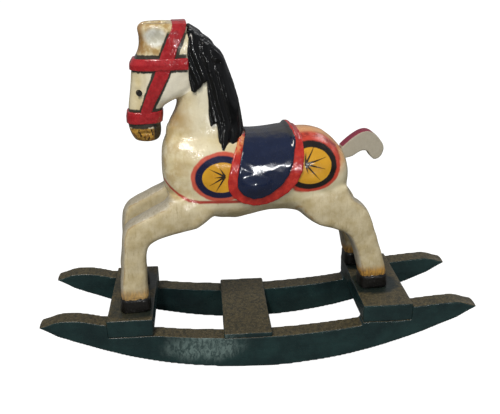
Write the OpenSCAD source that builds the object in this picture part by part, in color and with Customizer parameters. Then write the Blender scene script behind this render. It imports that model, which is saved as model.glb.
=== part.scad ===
// Small painted wooden rocking horse. The horse stands on two hoof boards that are let into a
// pair of bowed rockers, with a thin plank across the middle.
// Millimetres. The horse faces -Y, its left side is +X, +Z is up. The part stands as it comes
// to rest on a level floor at z = 0: its weight lies a little forward, so it leans a little onto
// its nose. The origin is under the middle of its length.

/* [Base] */
// overall length of a rocker along Y
rocker_length = 300; // [200:1:420]
// width across the two rockers, outside to outside
base_width = 82; // [60:1:120]
// thickness of the board that a rocker is sawn from
rocker_thickness = 12.5; // [8:0.5:20]
// radius of the rocking edge
rocker_radius = 306; // [220:1:500]
// height of a rocker's top edge at its middle
rocker_waist = 23.8; // [18:0.2:32]
// radius of the hollow top edge
hollow_radius = 488; // [350:1:800]
// thickness of the two hoof boards
board_thickness = 13; // [8:0.5:18]
// height of the front hoof board's top
front_board_top = 42; // [36:0.5:50]
// height of the rear hoof board's top
rear_board_top = 44; // [36:0.5:50]
// thickness of the middle plank
slat_thickness = 3.6; // [2:0.2:6]
// lean onto the nose at which the toy balances, in degrees
rest_lean = 1.88; // [0:0.02:3]

/* [Horse] */
// turn of the horse on its base, nose towards +X
horse_yaw = 5; // [-8:0.5:8]
// sideways place of the horse on its base
horse_x = -4; // [-8:0.5:8]
// distance from the middle of the horse to the middle of a leg
leg_x = 19.5; // [14:0.5:26]
// width of a leg across X
leg_width = 16; // [10:0.5:20]
// thickness of the tail board
tail_thickness = 8; // [4:0.5:12]

/* [Trim] */
// how far the mane stands off the neck
mane_relief = 2; // [1:0.1:4]
// how far the bridle straps stand off the head
strap_relief = 0.9; // [0.5:0.1:2]
// how far the red saddle skirt stands off the back
skirt_relief = 1.4; // [0.8:0.1:3]
// how far the blue saddle seat stands off the back
seat_relief = 2.8; // [1.5:0.1:5]

/* [Hidden] */

rocker_x = (base_width - rocker_thickness) / 2;
front_board_y = [-105, -74];
rear_board_y = [70.5, 105];
slat_y = [-26, 7.5];
front_seat_z = front_board_top - board_thickness;
rear_seat_z = rear_board_top - board_thickness;
slat_top = rocker_waist + slat_thickness;
tip_z = 39.6;
tip_roll = (rocker_radius - tip_z) * sin(rest_lean);

dowel_d = 6;
leg_dowel_d = 5;
leg_dowel_length = 18;
neck_dowel_length = 34;
head_dowel_length = 26;
nail_d = 1.6;
board_nail_length = 26;
slat_nail_length = 14;
nail_head_d = 3;
nail_head_t = 0.8;
nail_depth = 0.6;           // nail heads are punched below the painted face
screw_d = 3;
screw_length = 24;
screw_head_d = 6;
screw_head_t = 2.4;
screw_depth = 0.8;
eye_d = 3.2;
eye_pin_d = 1.2;

ring_points = 20;           // points round a carved section
steps = 2;                  // sections drawn between two stated ones
bite = 0.01;
past = 1;
hole_clearance = 0.06;      // round each dowel, for glue
let_in = 0.25;              // how deep the trim is let into the wood
reach = 200;

// ---------- carved forms ----------
// A section is [y, z of one edge, y, z of the other edge, half width, squareness, middle x].

function spline(a, b, c, d, t) =
    b + (c - a) * t / 2 + (2 * a - 5 * b + 4 * c - d) * t * t / 2
    + (3 * b - a - 3 * c + d) * t * t * t / 2;

function between(rows, u) =
    let (last = len(rows) - 1, i = min(floor(u), last - 1))
    spline(rows[max(i - 1, 0)], rows[i], rows[i + 1], rows[min(i + 2, last)], u - i);

function smooth(rows, n) = [for (k = [0 : (len(rows) - 1) * n]) between(rows, k / n)];

function signed_power(v, e) = sign(v) * pow(abs(v), e);

// The point at angle a round a section: 180 is the first edge, 0 the second, 90 the left side.
function skin(row, a, grow) =
    let (
        p = [row[0], row[1]], q = [row[2], row[3]], half = norm(q - p) / 2,
        e = 2 / row[5], at = (p + q) / 2 + (q - p) / (2 * half) * signed_power(cos(a), e) * (half + grow)
    )
    [row[6] + signed_power(sin(a), e) * (row[4] + grow), at[0], at[1]];

// Where along the rows the stated edge coordinate (0 is y, 1 is z) has the value s.
function place(rows, axis, s) =
    let (
        up = rows[len(rows) - 1][axis] > rows[0][axis],
        i = max([0, for (k = [0 : len(rows) - 2]) if (up ? rows[k][axis] <= s : rows[k][axis] >= s) k])
    )
    min(len(rows) - 1, i + (s - rows[i][axis]) / (rows[i + 1][axis] - rows[i][axis]));

// The angle round a level section at which its skin has the side-view place y.
function angle_at(row, y) =
    let (v = (2 * y - row[0] - row[2]) / (row[2] - row[0]))
    acos(signed_power(max(-1, min(1, v)), row[5] / 2));

// A solid through the sections. Faces turn outwards whichever way the rows run.
module carved(rows) {
    rings = [for (row = smooth(rows, steps))
        [for (j = [0 : ring_points - 1]) skin(row, 360 * j / ring_points, 0)]];
    n = len(rings);
    m = ring_points;
    a = rows[0];
    b = rows[1];
    turn = (a[3] - a[1]) * (b[0] + b[2] - a[0] - a[2]) - (a[2] - a[0]) * (b[1] + b[3] - a[1] - a[3]);
    faces = concat(
        [[for (j = [m - 1 : -1 : 0]) j]],
        [[for (j = [0 : m - 1]) (n - 1) * m + j]],
        [for (i = [0 : n - 2]) for (j = [0 : m - 1])
            let (k = (j + 1) % m)
            each [[i * m + j, (i + 1) * m + k, (i + 1) * m + j], [i * m + j, i * m + k, (i + 1) * m + k]]]
    );
    polyhedron(
        points = [for (r = rings) each r],
        faces = turn < 0 ? faces : [for (f = faces) [for (j = [len(f) - 1 : -1 : 0]) f[j]]]
    );
}

// A raised layer between two grids of points of the same shape, closed round its edges. When
// it is a hoop, each row's last point joins its first.
module layer(outer, inner, hoop = false) {
    rows = len(outer);
    cols = len(outer[0]);
    n = rows * cols;
    spans = hoop ? cols - 1 : cols - 2;
    function next(j) = (j + 1) % cols;
    polyhedron(
        points = [for (r = outer) each r, for (r = inner) each r],
        faces = concat(
            [for (i = [0 : rows - 2]) for (j = [0 : spans])
                let (a = i * cols + j, b = i * cols + next(j), c = a + cols, d = b + cols)
                each [[a, c, d], [a, d, b], [n + a, n + d, n + c], [n + a, n + b, n + d]]],
            [for (j = [0 : spans])
                let (a = j, b = next(j), c = (rows - 1) * cols + j, d = (rows - 1) * cols + next(j))
                each [[a, b, n + b], [a, n + b, n + a], [c, n + d, d], [c, n + c, n + d]]],
            hoop ? [] : [for (i = [0 : rows - 2])
                let (a = i * cols, c = a + cols, b = a + cols - 1, d = c + cols - 1)
                each [[a, n + a, n + c], [a, n + c, c], [b, n + d, n + b], [b, d, n + d]]]
        )
    );
}

// One mesh of what stands in it.
module one_mesh() {
    resize([0, 0, 0]) children();
}

// The whole toy rolled on its rockers to where it rests.
module at_rest() {
    translate([0, -tip_roll, rocker_radius]) rotate([rest_lean, 0, 0]) translate([0, 0, -rocker_radius])
        children();
}

// The horse stands a little askew on its base.
module horse_place() {
    translate([horse_x, 0, 0]) rotate([0, 0, horse_yaw]) children();
}

module on_base() {
    at_rest() horse_place() children();
}

// ---------- the horse's forms ----------
// Upper edge first.
torso_sections = [
    [-63.4, 146, -63.4, 129, 9, 2, 0],
    [-62, 155, -62, 121, 16, 2.1, 0],
    [-57, 163, -57, 113, 22, 2.3, 0],
    [-47, 165, -47, 104, 25.5, 2.5, 0],
    [-33, 164, -33, 100.5, 27.5, 2.6, 0],
    [-19, 160.5, -19, 99.2, 28, 2.6, 0],
    [-6, 157, -6, 101, 27.5, 2.6, 0],
    [8, 157, 8, 103.5, 27, 2.6, 0],
    [22, 158.5, 22, 102.5, 27, 2.6, 0],
    [36, 159.5, 36, 99.5, 27.5, 2.5, 0],
    [47, 156.8, 47, 101, 26.5, 2.3, 0],
    [56, 149, 56, 105, 23.5, 2.2, 0],
    [61.5, 141.5, 61.5, 112, 18, 2.1, 0],
    [64, 133, 64, 122, 8, 2, 0]
];

// Level sections, throat first.
neck_sections = [
    [-62.5, 154, -8.5, 154, 19, 2.3, 0],
    [-60.5, 161, -9.5, 161, 17, 2.3, 0],
    [-57.8, 168, -10.5, 168, 15.5, 2.4, 0],
    [-53.2, 176, -11.5, 176, 14.2, 2.4, 0],
    [-51, 185, -13, 185, 13.4, 2.4, 0],
    [-53, 195, -16.5, 195, 13, 2.5, 0],
    [-54, 205, -20, 205, 12.8, 2.5, 0],
    [-55, 216, -26, 216, 12.5, 2.5, 0]
];

// Level sections, front of the face first. Above the jaw they run back over the neck.
head_sections = [
    [-79.5, 157, -64.8, 157, 7, 2.4, 0],
    [-82.5, 161.5, -62, 161.5, 9, 2.6, 0],
    [-84, 167, -62.5, 167, 10, 2.8, 0],
    [-83.5, 174, -61.5, 174, 10, 2.8, 0],
    [-82.6, 180.5, -59.5, 180.5, 10.5, 2.8, 0],
    [-81.9, 185, -49, 185, 11.5, 2.8, 0],
    [-80.8, 192, -35, 192, 12.5, 2.8, 0],
    [-79.6, 201, -26, 201, 13, 2.8, 0],
    [-78.5, 208, -20, 208, 12.8, 2.8, 0],
    [-74.5, 215.5, -25, 215.5, 12.5, 2.8, 0],
    [-73.2, 223, -34, 223, 12.2, 2.8, 0],
    [-74.3, 229.5, -42, 229.5, 11.5, 2.8, 0],
    [-71, 232.6, -50, 232.6, 9.5, 2.6, 0]
];

// Legs: the front or upper edge first, then the rear or lower edge.
half_leg = leg_width / 2;
front_leg_sections = [
    [-60, 126, -29, 126, half_leg - 1.8, 6, leg_x - 1.8],
    [-62.6, 119.5, -29, 112, half_leg - 0.6, 5, leg_x - 0.6],
    [-69, 116.3, -38, 101, half_leg, 4.5, leg_x],
    [-77, 112.3, -58, 96.8, half_leg, 4, leg_x],
    [-84.5, 108.8, -69.5, 94, half_leg, 4, leg_x],
    [-90, 104.8, -75.6, 90.2, half_leg, 4, leg_x],
    [-93.2, 98.5, -77.9, 85.5, half_leg, 4, leg_x],
    [-94.6, 88, -78.6, 79.5, half_leg - 0.3, 4, leg_x],
    [-96, 74, -79, 70, half_leg - 0.5, 4, leg_x],
    [-97.6, 61, -78.8, 59.5, half_leg - 0.2, 4, leg_x],
    [-97.8, 53.5, -78.6, 53.5, half_leg, 4, leg_x],
    [-99, front_board_top, -77.5, front_board_top, half_leg + 0.5, 4, leg_x]
];

rear_leg_sections = [
    [60.5, 126, 25, 126, half_leg - 1.8, 6, leg_x - 1.8],
    [61.8, 118.5, 25, 109, half_leg - 0.6, 5, leg_x - 0.6],
    [65, 113.5, 34, 98, half_leg, 4.5, leg_x],
    [70.3, 109.4, 47, 92.6, half_leg, 4, leg_x],
    [75, 103.5, 57, 89, half_leg, 4, leg_x],
    [79, 94.8, 62.6, 83, half_leg, 4, leg_x],
    [83, 83.5, 65.6, 76.4, half_leg - 0.2, 4, leg_x],
    [86, 72.5, 68.2, 68.5, half_leg - 0.5, 4, leg_x],
    [90, 59.5, 71, 57.5, half_leg - 0.2, 4, leg_x],
    [91.6, 52.5, 71.8, 51.5, half_leg, 4, leg_x],
    [92.2, rear_board_top, 71.5, rear_board_top, half_leg + 0.5, 4, leg_x]
];

// Each leg's root fills a notch sawn in the side of the body.
leg_notch_top = 122;
front_notch_y = [-70, -31];
rear_notch_y = [27, 70];

module leg_notch(y) {
    translate([leg_x - half_leg, y[0], leg_notch_top - 40]) cube([40, y[1] - y[0], 40]);
}

// The head block sits on the neck along a sloping glue joint from the throat to the crest.
joint_point = [-53, 183.5];
joint_slope = 34;

module above_joint() {
    translate([0, joint_point[0], joint_point[1]]) rotate([joint_slope, 0, 0])
        translate([-reach / 2, -reach / 2, 0]) cube(reach);
}

neck_base_z = 160;
neck_base_y = -9;

// ---------- base ----------
module nose_outline(side, seat_z, seat_end) {
    tip = rocker_length / 2;
    polygon([
        [side * (abs(seat_end) - bite), seat_z],
        [side * abs(seat_end), seat_z + 10.4],
        each smooth([
            [side * (abs(seat_end) + 4), seat_z + 10.8],
            [side * (tip - 28), 43],
            [side * (tip - 17), 43.6],
            [side * (tip - 7), 42],
            [side * (tip - 2), 40.9],
            [side * tip, tip_z]
        ], 4),
        [side * tip, -1],
        [side * (abs(seat_end) - bite), -1]
    ]);
}

module rocker_outline() {
    intersection() {
        translate([0, rocker_radius]) circle(r = rocker_radius, $fn = 360);
        difference() {
            union() {
                translate([-rocker_length / 2, -1]) square([rocker_length, front_seat_z + 1]);
                translate([0, -1]) square([rocker_length / 2, rear_seat_z + 1]);
                nose_outline(-1, front_seat_z, front_board_y[0]);
                nose_outline(1, rear_seat_z, rear_board_y[1]);
            }
            intersection() {
                translate([0, rocker_waist + hollow_radius]) circle(r = hollow_radius, $fn = 360);
                translate([front_board_y[1], 0]) square([rear_board_y[0] - front_board_y[1], reach]);
            }
            translate([slat_y[0], rocker_waist]) square([slat_y[1] - slat_y[0], reach]);
        }
    }
}

module rocker(side) {
    difference() {
        translate([side * rocker_x, 0, 0]) rotate([90, 0, 90])
            linear_extrude(height = rocker_thickness, center = true) rocker_outline();
        all_board_nails();
        all_slat_nails();
    }
}

module plank(y, top, thickness) {
    translate([-base_width / 2, y[0], top - thickness]) cube([base_width, y[1] - y[0], thickness]);
}

// ---------- fasteners ----------
module nail(length) {
    translate([0, 0, -length]) cylinder(d = nail_d, h = length - nail_head_t + bite, $fn = 32);
    translate([0, 0, -nail_head_t]) cylinder(d = nail_head_d, h = nail_head_t, $fn = 32);
}

module all_board_nails() {
    inset = 8;
    for (side = [-1, 1], y = [front_board_y[0] + inset, front_board_y[1] - inset])
        translate([side * rocker_x, y, front_board_top - nail_depth]) nail(board_nail_length);
    for (side = [-1, 1], y = [rear_board_y[0] + inset, rear_board_y[1] - inset])
        translate([side * rocker_x, y, rear_board_top - nail_depth]) nail(board_nail_length);
}

module all_slat_nails() {
    inset = 8;
    for (side = [-1, 1], y = [slat_y[0] + inset, slat_y[1] - inset])
        translate([side * rocker_x, y, slat_top - nail_depth]) nail(slat_nail_length);
}

front_hoof_y = -88.5;
rear_hoof_y = 82;

module screw(clearance) {
    cylinder(d1 = screw_head_d, d2 = screw_d, h = screw_head_t, $fn = 32);
    translate([0, 0, screw_head_t - bite])
        cylinder(d = screw_d + 2 * clearance, h = screw_length - screw_head_t + clearance, $fn = 24);
}

module all_hoof_screws(clearance = 0) {
    for (side = [-1, 1]) {
        translate([side * leg_x, front_hoof_y, front_seat_z + screw_depth]) screw(clearance);
        translate([side * leg_x, rear_hoof_y, rear_seat_z + screw_depth]) screw(clearance);
    }
}

// Countersinks open to the underside of each board.
module screw_holes() {
    all_hoof_screws();
    for (side = [-1, 1], at = [[front_hoof_y, front_seat_z], [rear_hoof_y, rear_seat_z]])
        translate([side * leg_x, at[0], at[1] - past]) cylinder(d = screw_head_d, h = past + screw_depth);
}

module dowel(d, length, clearance) {
    cylinder(d = d + 2 * clearance, h = length + 2 * clearance, center = true, $fn = 24);
}

module all_leg_dowels(clearance = 0) {
    for (side = [-1, 1], at = [[-46, 113], [44, 111]])
        translate([side * (leg_x - half_leg), at[0], at[1]]) rotate([0, 90, 0])
            dowel(leg_dowel_d, leg_dowel_length, clearance);
}

module neck_pin(clearance = 0) {
    translate([0, -35, neck_base_z]) dowel(dowel_d + 2, neck_dowel_length, clearance);
}

module head_pin(clearance = 0) {
    translate([0, -37, 195]) rotate([joint_slope, 0, 0]) dowel(dowel_d, head_dowel_length, clearance);
}

module eye_pins(clearance = 0) {
    for (side = [-1, 1])
        translate([side * 11, -75.3, 190.2]) rotate([0, side * 90, 0]) {
            translate([0, 0, -7 - clearance])
                cylinder(d = eye_pin_d + 2 * clearance, h = 7 + clearance + bite, $fn = 16);
            cylinder(d = eye_d + 2 * clearance, h = 0.7, $fn = 24);
        }
}

// ---------- the nodes ----------
module rocker_left() { color("#1f3a38") at_rest() rocker(1); }
module rocker_right() { color("#1f3a38") at_rest() rocker(-1); }

module hoof_board(y, top) {
    difference() {
        plank(y, top, board_thickness);
        all_board_nails();
        horse_place() screw_holes();
    }
}

module front_hoof_board() {
    color("#24413c") at_rest() hoof_board(front_board_y, front_board_top);
}

module rear_hoof_board() {
    color("#24413c") at_rest() hoof_board(rear_board_y, rear_board_top);
}

module middle_slat() {
    color("#24413c") at_rest() difference() {
        plank(slat_y, slat_top, slat_thickness);
        all_slat_nails();
    }
}

module board_nails() { color("#8a8a88") at_rest() all_board_nails(); }
module slat_nails() { color("#8a8a88") at_rest() all_slat_nails(); }
module hoof_screws() { color("#a8a8a4") on_base() all_hoof_screws(); }

tail_seat_y = 61;
tail_z = [135.5, 144.5];
tenon = [5, 14, 5.5];

module tail_tenon(clearance = 0) {
    translate([-tenon[0] / 2 - clearance, tail_seat_y - tenon[1], 140 - tenon[2] / 2 - clearance])
        cube([tenon[0] + 2 * clearance, tenon[1] + 1, tenon[2] + 2 * clearance]);
}

module tail_seat() {
    translate([-tail_thickness / 2, tail_seat_y, tail_z[0]]) cube([tail_thickness, 10, 20]);
}

module torso() {
    color("#e6dcb8") on_base() one_mesh() difference() {
        carved(torso_sections);
        translate([-reach / 2, neck_base_y - reach, neck_base_z]) cube(reach);
        for (side = [0, 1])
            mirror([side, 0, 0]) {
                leg_notch(front_notch_y);
                leg_notch(rear_notch_y);
            }
        tail_seat();
        all_leg_dowels(hole_clearance);
        neck_pin(hole_clearance);
        tail_tenon(hole_clearance);
    }
}

module neck() {
    color("#e6dcb8") on_base() one_mesh() difference() {
        carved(neck_sections);
        above_joint();
        translate([-reach / 2, -reach / 2, neck_base_z - reach]) cube(reach);
        neck_pin(hole_clearance);
        head_pin(hole_clearance);
    }
}

module head() {
    color("#e6dcb8") on_base() one_mesh() difference() {
        intersection() {
            carved(head_sections);
            union() {
                above_joint();
                translate([-reach / 2, joint_point[0] - 3.5 - reach, 100]) cube(reach);
            }
        }
        ear_gap();
        head_pin(hole_clearance);
        eye_pins(hole_clearance);
    }
}

// The gap sawn between the two ears.
module ear_gap() {
    translate([-2, -80, 225]) cube([4, 24, 20]);
}

module leg(sections, side) {
    color("#d9ceb0") on_base() mirror([side < 0 ? 1 : 0, 0, 0]) one_mesh() difference() {
        carved(sections);
        translate([-reach / 2, -reach / 2, leg_notch_top]) cube(reach);
        translate([-reach / 2, front_notch_y[1], leg_notch_top - 40])
            cube([reach, rear_notch_y[0] - front_notch_y[1], reach]);
        all_leg_dowels(hole_clearance);
        all_hoof_screws(hole_clearance);
    }
}

module front_leg_left() { leg(front_leg_sections, 1); }
module front_leg_right() { leg(front_leg_sections, -1); }
module rear_leg_left() { leg(rear_leg_sections, 1); }
module rear_leg_right() { leg(rear_leg_sections, -1); }

module leg_dowels() { color("#caa46a") on_base() all_leg_dowels(); }
module neck_dowel() { color("#caa46a") on_base() neck_pin(); }
module head_dowel() { color("#caa46a") on_base() head_pin(); }

// The tail is sawn from a flat board: a hook with its crest curled over.
tail_outline = smooth([
    [tail_seat_y, tail_z[1]], [65.3, 148.4], [70.1, 151.9], [75, 154.4], [80, 154.8], [84.5, 152.2],
    [88.5, 147.8], [91.2, 143.3], [91.2, 139], [88.8, 134.8], [84.8, 133.6], [82, 136.3],
    [79.5, 139.8], [76, 140.5], [72.5, 139.1], [68, 136.6], [tail_seat_y, tail_z[0]]
], 3);

module tail() {
    color("#cfc6b4") on_base() {
        rotate([90, 0, 90]) linear_extrude(height = tail_thickness, center = true) polygon(tail_outline);
        tail_tenon();
    }
}

// ---------- trim ----------
function mirrored(p) = [-p[0], p[1], p[2]];

// Both sides of a row of points that starts on the middle line.
function both_sides(row) =
    concat([for (j = [len(row) - 1 : -1 : 1]) mirrored(row[j])], row);

// The saddle: for each row, y on the back, then y and z of its lower edge.
skirt_rows = [
    [-9.5, -22.6, 133], [-9, -22.2, 127.5], [-7.5, -19, 121.8], [-3.5, -12.5, 117.2], [0.5, -5, 114.8],
    [5.5, 3, 115], [10.5, 11, 118], [15.5, 18.6, 123], [20, 24, 129], [24.5, 27.2, 136.5], [28.6, 29.2, 147]
];
seat_rows = [
    [-6.4, -16.6, 133.5], [-5.8, -16.2, 128.8], [-3.5, -12.6, 124], [-0.5, -6.2, 120.6], [3.5, 0, 120.8],
    [7.5, 6, 123.2], [12, 13, 128], [16.5, 18.3, 134.5], [20, 21.2, 142], [22.8, 23.2, 151]
];
saddle_columns = 9;

function back_row(y) = between(torso_sections, place(torso_sections, 0, y));

// The angle down the back, measured from its middle, at which the skin has height z.
function back_angle(y, z) =
    let (row = back_row(y), v = (row[1] + row[3] - 2 * z) / (row[1] - row[3]))
    180 - acos(signed_power(v, row[5] / 2));

function on_back(r, grow) =
    let (low = back_angle(r[1], r[2]))
    both_sides([for (j = [0 : saddle_columns])
        let (t = j / saddle_columns, row = back_row(r[0] + (r[1] - r[0]) * t))
        skin(row, 180 - low * t, grow)]);

function back_grid(rows, grow) = [for (r = smooth(rows, 1)) on_back(r, grow)];

module saddle_skirt() {
    color("#c22a30") on_base() layer(back_grid(skirt_rows, skirt_relief), back_grid(skirt_rows, -let_in));
}

module saddle_seat() {
    color("#1b2347") on_base()
        layer(back_grid(seat_rows, seat_relief), back_grid(seat_rows, skirt_relief - let_in));
}

// A level section of the head at height z.
function head_row(z) = between(head_sections, place(head_sections, 1, z));

function on_head(y, z, grow) = skin(head_row(z), angle_at(head_row(z), y), grow);

// Headstall: [y, z, half width along y] up the cheek from the noseband, then over the poll.
cheek_strap = [
    [-72, 176.5, 3.2], [-69, 184, 3.8], [-65, 192, 4.3], [-61, 199.5, 4.5], [-58, 207, 4.6],
    [-55, 215, 4.6], [-51.5, 223, 4.5], [-48.5, 228.8, 4.4]
];
poll_strap = [[9.2, 231.4], [5, 232.4], [0, 232.7]];

poll_y = -47.6;
poll_half_width = 4.4;

// One lengthwise line of the strap: over the poll, round its corner, then down the cheek.
function strap_line(edge, grow) =
    let (y = poll_y + edge * poll_half_width, top = poll_strap[2], corner = [poll_strap[1], poll_strap[0]])
    concat(
        [[0, y, top[1] + grow]],
        [for (p = corner) [p[0] + grow / 2, y, p[1] + grow * 0.8]],
        [for (k = [len(cheek_strap) - 1 : -1 : 0])
            let (p = cheek_strap[k]) on_head(p[0] + edge * p[2], p[1], grow)]
    );

function strap_grid(grow) = [for (edge = [-1, 0, 1]) both_sides(strap_line(edge, grow))];

module headstall() {
    color("#c22a30") on_base() layer(strap_grid(strap_relief), strap_grid(-let_in));
}

// Straps round the face: level hoops between two heights, open behind y when it is given.
hoop_columns = 28;

function hoop_row(z, grow, rear) =
    let (
        row = head_row(z),
        a = rear == undef ? 0 : angle_at(row, rear),
        turn = rear == undef ? 360 : 360 - 2 * a
    )
    [for (j = [hoop_columns : -1 : (rear == undef ? 1 : 0)]) skin(row, a + turn * j / hoop_columns, grow)];

module hoop(z, relief, rear) {
    levels = [z[0], (z[0] + z[1]) / 2, z[1]];
    layer(
        [for (k = [0 : 2]) hoop_row(levels[k], relief * (k == 1 ? 1.3 : 1), rear)],
        [for (level = levels) hoop_row(level, -let_in, rear)],
        rear == undef
    );
}

module browband() {
    color("#c22a30") on_base() hoop([204, 211.3], strap_relief * 1.4, -43.7);
}

module noseband() {
    color("#c22a30") on_base() hoop([169.8, 177.3], strap_relief, undef);
}

// Mane: for each lock line, y and z of its free end and of its root on the crest.
mane_rows = [
    [-43.3, 227, -42.5, 229.4], [-43.6, 214, -37, 226], [-43.2, 201, -30.5, 220.5],
    [-42, 191, -26, 215.5], [-39.6, 189.6, -23.5, 212.5], [-32, 197.6, -21.5, 209],
    [-32.2, 189, -20, 205], [-31.9, 176, -17.7, 198.5], [-31, 167.5, -16, 194],
    [-27, 170, -14.3, 189], [-26.4, 161.5, -12.6, 183], [-24.5, 152.5, -11.4, 176],
    [-19, 151.5, -10.5, 169], [-13.5, 157, -9.8, 163]
];
mane_columns = 7;

function crest_row(z) = z > 205 ? head_row(z) : between(neck_sections, place(neck_sections, 1, z));

// A point on the neck, or lower down on the shoulder, pushed out from it by grow.
function on_neck(y, z, grow) =
    let (
        row = crest_row(max(z, 155)), half = (row[2] - row[0]) / 2, v = (y - row[0]) / half - 1,
        p = skin(row, angle_at(row, y), 0), out = [p[0] / row[4], v * row[4] / half, max(0, z - 195) / 70],
        flare = max(0, 160 - z) * 0.55
    )
    [p[0] + flare, y, z] + out / norm(out) * grow;

function lock(r, grow) =
    both_sides([for (j = [0 : mane_columns])
        let (t = pow(j / mane_columns, 1.6), y = r[2] + (r[0] - r[2]) * t, z = r[3] + (r[1] - r[3]) * t)
        j == 0 ? [0, r[2], r[3]] + [0, 0.8, 0.6] * grow : on_neck(y, z, grow)]);

module mane() {
    color("#15171c") on_base() layer(
        [for (r = mane_rows) lock(r, mane_relief)],
        [for (r = mane_rows) lock(r, -let_in)]
    );
}

module eyes() { color("#101010") on_base() eye_pins(); }

rocker_left();
rocker_right();
front_hoof_board();
middle_slat();
rear_hoof_board();
board_nails();
slat_nails();
hoof_screws();
torso();
neck();
head();
front_leg_left();
front_leg_right();
rear_leg_left();
rear_leg_right();
leg_dowels();
neck_dowel();
head_dowel();
tail();
mane();
saddle_skirt();
saddle_seat();
headstall();
browband();
noseband();
eyes();
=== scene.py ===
"""The looks of a small carved and painted wooden rocking horse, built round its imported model."""
import math

import bmesh
import bpy
import numpy as np
from mathutils import Matrix, Vector
from mathutils.bvhtree import BVHTree


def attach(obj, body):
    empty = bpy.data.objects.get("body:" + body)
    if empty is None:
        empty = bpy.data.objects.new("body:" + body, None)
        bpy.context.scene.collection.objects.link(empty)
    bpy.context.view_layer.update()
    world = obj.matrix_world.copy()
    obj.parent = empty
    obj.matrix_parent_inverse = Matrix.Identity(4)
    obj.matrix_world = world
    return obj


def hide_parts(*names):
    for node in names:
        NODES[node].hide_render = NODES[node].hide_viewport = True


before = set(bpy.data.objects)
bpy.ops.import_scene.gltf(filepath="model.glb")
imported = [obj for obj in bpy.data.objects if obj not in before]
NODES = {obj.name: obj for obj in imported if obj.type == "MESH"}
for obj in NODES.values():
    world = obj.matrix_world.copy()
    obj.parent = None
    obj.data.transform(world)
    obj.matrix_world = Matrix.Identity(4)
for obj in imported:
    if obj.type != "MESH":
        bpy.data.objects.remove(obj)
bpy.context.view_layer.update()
MM = 0.001

# ---------- where things stand ----------
# the toy's weight lies a little forward, so it rests leaning this far onto its nose
LEAN = math.radians(1.88)
ROCKER_RADIUS = 0.306
TIP_Z = 0.0396
ROLL_BACK = (ROCKER_RADIUS - TIP_Z) * math.sin(LEAN)
AT_REST = (
    Matrix.Translation((0, -ROLL_BACK, ROCKER_RADIUS))
    @ Matrix.Rotation(LEAN, 4, "X")
    @ Matrix.Translation((0, 0, -ROCKER_RADIUS))
)
# the horse stands a little askew on its boards
HORSE_ASIDE = Matrix.Translation((-0.004, 0, 0))
HORSE_TURN = Matrix.Rotation(math.radians(5), 4, "Z")
HORSE = AT_REST @ HORSE_ASIDE @ HORSE_TURN

# the camera's place and aim on the toy before it leans, in metres
EYE = Vector((0.4558, -0.0348, 0.2860))
AIM = Vector((0, -0.0040, 0.1044))
CAMERA_ROLL = math.radians(0.97)
LENS, SENSOR = 50.4, 36
NEAR, FAR = 0.01, 20


def make_camera():
    roll = CAMERA_ROLL
    ahead = (AIM - EYE).normalized()
    right = ahead.cross(Vector((0, 0, 1))).normalized()
    down = ahead.cross(right)
    across = right * math.cos(roll) + down * math.sin(roll)
    down = down * math.cos(roll) - right * math.sin(roll)
    turn = Matrix((across, -down, -ahead)).transposed().to_4x4()
    data = bpy.data.cameras.new("camera")
    data.lens, data.sensor_width = LENS, SENSOR
    data.clip_start, data.clip_end = NEAR, FAR
    cam = bpy.data.objects.new("camera", data)
    bpy.context.scene.collection.objects.link(cam)
    cam.matrix_world = AT_REST @ Matrix.Translation(EYE) @ turn
    bpy.context.scene.camera = cam


make_camera()


# ---------- mesh helpers ----------
SAME_POINT = 1e-6
WAVE_COUNT = 9
WAVE_LENGTHS = (1.3, 2.6)
WAVE_SCALE = 4


def show(name, mesh, place):
    obj = bpy.data.objects.new(name, mesh)
    bpy.context.scene.collection.objects.link(obj)
    obj.matrix_world = place
    return obj


def gathered(name, nodes, place):
    """One object with copies of these CAD solids, in the place's own coordinates."""
    bm = bmesh.new()
    for node in nodes:
        mesh = NODES[node].data.copy()
        mesh.transform(place.inverted())
        bm.from_mesh(mesh)
        bpy.data.meshes.remove(mesh)
    bmesh.ops.remove_doubles(bm, verts=bm.verts, dist=SAME_POINT)
    mesh = bpy.data.meshes.new(name)
    bm.to_mesh(mesh)
    bm.free()
    mesh.materials.clear()
    return show(name, mesh, place)


def settle(obj):
    """Applies the object's modifiers."""
    graph = bpy.context.evaluated_depsgraph_get()
    mesh = bpy.data.meshes.new_from_object(obj.evaluated_get(graph))
    old = obj.data
    obj.modifiers.clear()
    obj.data = mesh
    bpy.data.meshes.remove(old)
    return obj


def remeshed(obj, voxel):
    mod = obj.modifiers.new("voxels", "REMESH")
    mod.mode, mod.voxel_size, mod.use_smooth_shade = "VOXEL", voxel, True
    return settle(obj)


def points(obj):
    co = np.empty(len(obj.data.vertices) * 3)
    obj.data.vertices.foreach_get("co", co)
    return co.reshape(-1, 3)


def normals(obj):
    no = np.empty(len(obj.data.vertices) * 3)
    obj.data.vertex_normals.foreach_get("vector", no)
    return no.reshape(-1, 3)


def put(obj, co):
    obj.data.vertices.foreach_set("co", co.ravel())
    obj.data.update()


def relax(obj, times, rate=0.5, where=None):
    """Evens the surface out; where is how much each point takes part."""
    co = points(obj)
    ends = np.empty(len(obj.data.edges) * 2, int)
    obj.data.edges.foreach_get("vertices", ends)
    a, b = ends[0::2], ends[1::2]
    here, there = np.concatenate((a, b)), np.concatenate((b, a))
    n = len(co)
    count = np.maximum(np.bincount(here, minlength=n), 1)
    share = rate if where is None else rate * where(co / MM)[:, None]
    for _ in range(times):
        mean = np.column_stack([np.bincount(here, co[there, k], n) / count for k in range(3)])
        co += (mean - co) * share
    put(obj, co)


def ramp(v, start, end):
    """0 at start, 1 at end, smooth between."""
    t = np.clip((v - start) / (end - start), 0, 1)
    return t * t * (3 - 2 * t)


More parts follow.
